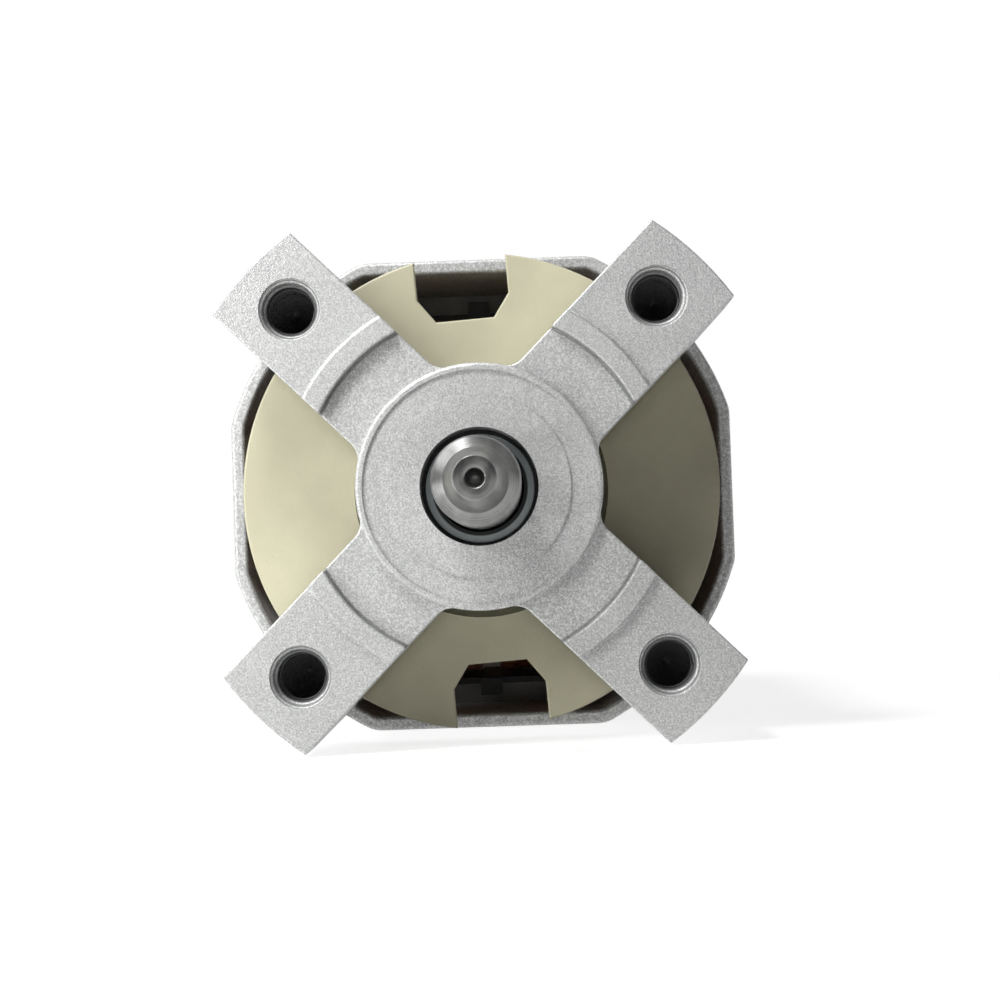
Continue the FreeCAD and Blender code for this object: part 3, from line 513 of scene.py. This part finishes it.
finishes["holder_brass"] = drawn_metal(
    "holder_brass", colour(0.50, 0.35, 0.12), colour(0.76, 0.58, 0.26), 0.26)
finishes["tab_brass"] = drawn_metal(
    "tab_brass", colour(0.52, 0.48, 0.38), colour(0.74, 0.71, 0.62), 0.24)
finishes["zinc_steel"] = drawn_metal(
    "zinc_steel", colour(0.50, 0.51, 0.50), colour(0.72, 0.73, 0.72), 0.28)
finishes["spring_steel"] = drawn_metal(
    "spring_steel", colour(0.16, 0.155, 0.15), colour(0.30, 0.29, 0.28), 0.32)

# %% [markdown]
# The dark pieces differ mainly in their surface. Rubber seals are dull and slightly grained,
# mouldings are smoother and carry faint flow marks, carbon is a pressed powder with tiny
# bright grains, and pressed fibre shows short threads. One function serves them all, with the
# grain's size, its depth and the gloss as its values.

# %% Rubber, mouldings, fibre and carbon
def dull_piece(name, dark, light, gloss, per_mm, depth_mm, stretch=1.0):
    """Matt or satin piece; a stretch above 1 draws its grain out into threads."""
    material, shader, place = new_finish(name)
    across, along, up = axes(place)
    fine = grain(joined(place, across, along * stretch, up * stretch), per_mm, 3.0, 0.6)
    flow = grain(place, 0.15, 2.0)
    finish(
        shader, place,
        Base_Color=blend(between(fine * 0.6 + flow * 0.4, 0.35, 0.65), dark, light),
        Metallic=0.0,
        Roughness=between(fine, 0.3, 0.7, gloss, gloss + 0.14),
        Normal=relief(fine, depth_mm),
    )
    return material


finishes["bearing_seal"] = dull_piece(
    "bearing_seal", colour(0.012, 0.012, 0.013), colour(0.028, 0.028, 0.03), 0.55, 5.0, 0.012)
finishes["cage_polyamide"] = dull_piece(
    "cage_polyamide", colour(0.42, 0.35, 0.22), colour(0.58, 0.50, 0.35), 0.42, 3.0, 0.01)
finishes["slot_fibre"] = dull_piece(
    "slot_fibre", colour(0.46, 0.39, 0.27), colour(0.66, 0.59, 0.45), 0.62, 2.0, 0.03, 3.0)
finishes["dark_insulator"] = dull_piece(
    "dark_insulator", colour(0.022, 0.021, 0.022), colour(0.045, 0.043, 0.043), 0.42, 3.0, 0.012)
finishes["black_moulding"] = dull_piece(
    "black_moulding", colour(0.014, 0.014, 0.015), colour(0.032, 0.032, 0.034), 0.26, 2.0, 0.01)
finishes["carbon"] = dull_piece(
    "carbon", colour(0.018, 0.018, 0.02), colour(0.075, 0.075, 0.08), 0.38, 8.0, 0.01)

# %% [markdown]
# The short leads inside the rear bracket wear a woven sleeve. They all run along the axis, so
# the weave is two sets of slanted waves, one over the width and one over the height. Where
# both are high a thread lies on top.

# %% Woven sleeving
STRANDS_ACROSS = 6.0
STRANDS_ALONG = 4.0


def woven_sleeving():
    material, shader, place = new_finish("lead_insulation")
    across, along, up = axes(place)
    rising = across * STRANDS_ACROSS + along * STRANDS_ALONG
    falling = up * STRANDS_ACROSS - along * STRANDS_ALONG
    weave = between(rising.maths("SINE", rising) * falling.maths("SINE", falling), -0.6, 0.6)
    finish(
        shader, place,
        Base_Color=blend(weave, colour(0.16, 0.02, 0.015), colour(0.46, 0.08, 0.05)),
        Metallic=0.0,
        Roughness=between(weave, 0.0, 1.0, 0.8, 0.6),
        Normal=relief(weave, 0.12),
    )
    return material


finishes["lead_insulation"] = woven_sleeving()
print("finishes", sorted(finishes))

# %% [markdown]
# Each part arrives with one flat material named for its slot in the record. The finish of the
# same name takes its place, in the part's own material slot. Two parts differ from their slot's
# first finish: the armature's turns run another way, and the front ring carries a painted shade
# ring round the shaft.

# %% Dress the parts
def dress(part):
    slot_name = part.data.materials[0].name.split(".")[0]
    part.data.materials[0] = finishes[slot_name]
    return slot_name


for name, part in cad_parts.items():
    print(name, dress(part))
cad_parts["armature_winding"].data.materials[0] = armature_wire
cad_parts["front_bearing_inner_ring"].data.materials[0] = front_ring_steel

# %% [markdown]
# The shaft end is what the eye meets first. The real one is turned: a soft bright line runs
# round its shoulder, a shallow cone leads to a short pilot and a steeper cone, and a centre
# hole with a countersunk mouth ends it. Its outline is drawn as a few points and spun round
# the axis, and then every ring edge that turns sharply gets a small bevel.

# %% Turn the shaft
SHAFT_STEPS = 96
SHAFT_BEVEL = 0.12
SHARP_DEGREES = 25.0
BEVEL_SEGMENTS = 2
SAME_POINT = 1e-6


def new_piece(name, mesh_maker, body, slot_name):
    """Object from a bmesh, at the origin, riding on a body."""
    mesh = bpy.data.meshes.new(name)
    shape = mesh_maker()
    bmesh.ops.remove_doubles(shape, verts=shape.verts, dist=SAME_POINT)
    bmesh.ops.recalc_face_normals(shape, faces=shape.faces)
    for face in shape.faces:
        face.smooth = True
    shape.to_mesh(mesh)
    shape.free()
    piece = bpy.data.objects.new(name, mesh)
    bpy.context.scene.collection.objects.link(piece)
    mesh.materials.append(finishes[slot_name])
    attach(piece, body)
    print(name, "faces", len(mesh.polygons))
    return piece


def ring_points(shape, outline):
    """Points of a mesh at (radius, station) places in millimetres."""
    return [
        shape.verts.new((radius / MM_PER_METRE, station / MM_PER_METRE, 0))
        for radius, station in outline
    ]


def spun(outline, steps):
    """Solid spun about the motor axis from (radius, station) points in millimetres."""
    shape = bmesh.new()
    points = ring_points(shape, outline)
    edges = [shape.edges.new(pair) for pair in zip(points, points[1:])]
    bmesh.ops.spin(shape, geom=points + edges, cent=(0, 0, 0), axis=(0, 1, 0), angle=math.tau,
                   steps=steps, use_merge=True)
    bmesh.ops.remove_doubles(shape, verts=shape.verts, dist=SAME_POINT)
    return shape


def soften(shape, width_mm):
    """Bevels the edges where two faces meet at a sharp angle."""
    limit = math.radians(SHARP_DEGREES)
    between_faces = [edge for edge in shape.edges if len(edge.link_faces) == 2]
    sharp = [edge for edge in between_faces if edge.calc_face_angle() > limit]
    bmesh.ops.bevel(shape, geom=sharp, offset=width_mm / MM_PER_METRE, segments=BEVEL_SEGMENTS,
                    profile=0.5, affect="EDGES", material=-1, clamp_overlap=True)
    return shape


SHAFT_OUTLINE = (
    (0.0, -29.0), (1.45, -30.45), (1.45, -33.6), (1.75, -34.0), (3.6, -34.0), (5.4, -26.6),
    (5.4, -25.2), (7.1, -24.0), (7.5, -23.6), (7.5, 5.5), (7.3, 5.5), (7.3, 6.5), (7.5, 6.5),
    (7.5, 18.0), (8.5, 18.0), (8.5, 112.9), (6.0, 112.9), (6.0, 144.0), (5.6, 144.4),
    (1.75, 144.4), (1.45, 144.0), (1.45, 140.85), (0.0, 139.4),
)


def shaft_shape():
    return soften(spun(SHAFT_OUTLINE, SHAFT_STEPS), SHAFT_BEVEL)


turned_shaft = new_piece("turned_shaft", shaft_shape, "rotor", "turned_steel")
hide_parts("shaft")

# %% [markdown]
# The four pads have tapped holes, and the light picks out the first turns of their threads.
# A thread is a ridge that climbs round the wall of the hole. A small blunt section of it stands
# at the wall and spins round the hole's axis while each step also moves it inward, so one spin
# with a shift makes the whole screw line, and a copy goes to each hole.

# %% Cut the threads
THREAD_START = 3.4
THREAD_TURNS = 4
THREAD_STEPS = 28
WALL_RADIUS = 4.3
CREST_RADIUS = 3.95
FOOT_HALF_WIDTH = 0.6
CREST_HALF_WIDTH = 0.1


def thread_shape():
    shape = bmesh.new()
    corners = (
        (WALL_RADIUS, THREAD_START - FOOT_HALF_WIDTH),
        (CREST_RADIUS, THREAD_START - CREST_HALF_WIDTH),
        (CREST_RADIUS, THREAD_START + CREST_HALF_WIDTH),
        (WALL_RADIUS, THREAD_START + FOOT_HALF_WIDTH),
    )
    face = shape.faces.new(ring_points(shape, corners))
    climb = THREAD_PITCH / THREAD_STEPS / MM_PER_METRE
    bmesh.ops.spin(shape, geom=[face], cent=(0, 0, 0), axis=(0, 1, 0),
                   angle=math.tau * THREAD_TURNS, steps=THREAD_STEPS * THREAD_TURNS,
                   dvec=(0, climb, 0))
    first = list(shape.verts) + list(shape.edges) + list(shape.faces)
    half = HOLE_SPACING / 2 / MM_PER_METRE
    for across, up in ((1, 1), (1, -1), (-1, 1), (-1, -1)):
        shift = (across * half, 0, up * half)
        copy = bmesh.ops.duplicate(shape, geom=first)["geom"]
        verts = [item for item in copy if isinstance(item, bmesh.types.BMVert)]
        bmesh.ops.translate(shape, verts=verts, vec=shift)
    bmesh.ops.delete(shape, geom=[item for item in first if isinstance(item, bmesh.types.BMVert)],
                     context="VERTS")
    return shape


new_piece("pad_threads", thread_shape, "housing", "cast_aluminium")

# %% [markdown]
# The studio is plain: a pale floor under the motor and three soft lamps at the left and above.
# All stand forward of the pads, so the left arms are bright, the boss throws a soft shadow over
# the right and lower parts of the fan, and the far arms fall off gently.
# The camera sees white all round. Reflections see white too, except behind the camera, where the
# wall is dim, which keeps the turned shaft end grey. For rays that only light, it is nearly dark.

# %% Room and floor
ROOM_LIGHT = 0.01
WALL_BEHIND_CAMERA = 0.06
FLOOR_DROP = 0.0005
FLOOR_GLOW_NEAR = 0.78
FLOOR_GLOW_FAR = 1.0
GLOW_CHANGE_START = 150.0
GLOW_CHANGE_END = 500.0
FLOOR_HALF_WIDTH = 6.0
WALL_CHANGE_START = -0.3
WALL_CHANGE_END = 0.1


def ray_kinds(start):
    """Camera rays, and glossy or transmission rays, each as a wire from 0 to 1."""
    outputs = start.node("ShaderNodeLightPath").socket.node.outputs
    camera_ray = Wire(start.tree, outputs["Is Camera Ray"])
    glossy = Wire(start.tree, outputs["Is Glossy Ray"])
    through = Wire(start.tree, outputs["Is Transmission Ray"])
    return camera_ray, glossy.maths("MAXIMUM", glossy, through)


def seen_directly(start):
    """1 for camera, glossy and transmission rays, 0 for the rays that only light."""
    camera_ray, mirrored = ray_kinds(start)
    return camera_ray.maths("MAXIMUM", camera_ray, mirrored)


def light_room():
    world = bpy.data.worlds.new("room")
    world.use_nodes = True
    bpy.context.scene.world = world
    background = world.node_tree.nodes["Background"]
    start = Wire(world.node_tree)
    _, backward, _ = axes(start.node("ShaderNodeTexCoord", output="Generated"))
    walls = between(backward, WALL_CHANGE_START, WALL_CHANGE_END, WALL_BEHIND_CAMERA, 1.0)
    camera_ray, mirrored = ray_kinds(start)
    strength = camera_ray + mirrored * (walls - ROOM_LIGHT) + ROOM_LIGHT
    connect(world.node_tree, background.inputs["Strength"], strength)
    background.inputs["Color"].default_value = colour(1.0, 1.0, 1.0)


def lay_floor(height):
    shape = bmesh.new()
    bmesh.ops.create_grid(shape, x_segments=1, y_segments=1, size=FLOOR_HALF_WIDTH)
    bmesh.ops.translate(shape, verts=shape.verts, vec=(0, 0, height))
    mesh = bpy.data.meshes.new("floor")
    shape.to_mesh(mesh)
    shape.free()
    floor = bpy.data.objects.new("floor", mesh)
    bpy.context.scene.collection.objects.link(floor)
    mesh.materials.append(pale_floor())


def radius_on_floor(place):
    across, along, _ = axes(place)
    return (across * across + along * along) ** 0.5


def pale_floor():
    material, shader, place = new_finish("pale_floor")
    clouds = between(grain(place, 0.02, 2.0), 0.3, 0.7)
    near = colour(FLOOR_GLOW_NEAR, FLOOR_GLOW_NEAR, FLOOR_GLOW_NEAR)
    far = colour(FLOOR_GLOW_FAR, FLOOR_GLOW_FAR, FLOOR_GLOW_FAR)
    outward = between(radius_on_floor(place), GLOW_CHANGE_START, GLOW_CHANGE_END)
    glow = blend(outward, near, far)
    finish(
        shader, place,
        Base_Color=blend(clouds, colour(0.48, 0.48, 0.48), colour(0.52, 0.52, 0.52)),
        Roughness=0.8,
        Emission_Color=blend(seen_directly(place), colour(0.0, 0.0, 0.0), glow),
        Emission_Strength=1.0,
    )
    return material


light_room()
lay_floor(box_of_parts[0][2] - FLOOR_DROP)
print("room and floor ready")

# %% [markdown]
# Each lamp is a soft disc aimed at the middle of the boss face. Its place is given as a
# photographer would: how far round from the left, how far off the motor axis, and how far away.
# The two near ones make the metal fall off from left to right, and the high one, farther off,
# reaches past the upper arms to the fan's top.

# %% Lamps
LAMP_WIDTH = 0.12
NEAR_DISTANCE = 0.28
FAR_DISTANCE = 0.4


def hang_lamp(name, round_from_left, off_axis, distance, power):
    """A lamp from its two angles in degrees, its distance in metres and its power."""
    lamp = bpy.data.objects.new(name, bpy.data.lights.new(name, "AREA"))
    lamp.data.shape = "DISK"
    lamp.data.size = LAMP_WIDTH
    lamp.data.energy = power
    lamp.visible_camera = False
    turned, tilted = math.radians(round_from_left), math.radians(off_axis)
    direction = Vector((
        -math.sin(tilted) * math.cos(turned),
        -math.cos(tilted),
        math.sin(tilted) * math.sin(turned),
    ))
    lamp.location = direction * distance
    lamp.rotation_euler = (-direction).to_track_quat("-Z", "Y").to_euler()
    bpy.context.scene.collection.objects.link(lamp)
    print(name, [round(value, 3) for value in lamp.location])


hang_lamp("low_lamp", round_from_left=-18, off_axis=63, distance=NEAR_DISTANCE, power=1.3)
hang_lamp("middle_lamp", round_from_left=35, off_axis=60, distance=NEAR_DISTANCE, power=0.41)
hang_lamp("high_lamp", round_from_left=70, off_axis=67, distance=FAR_DISTANCE, power=1.32)
bpy.context.scene.view_settings.view_transform = "Standard"
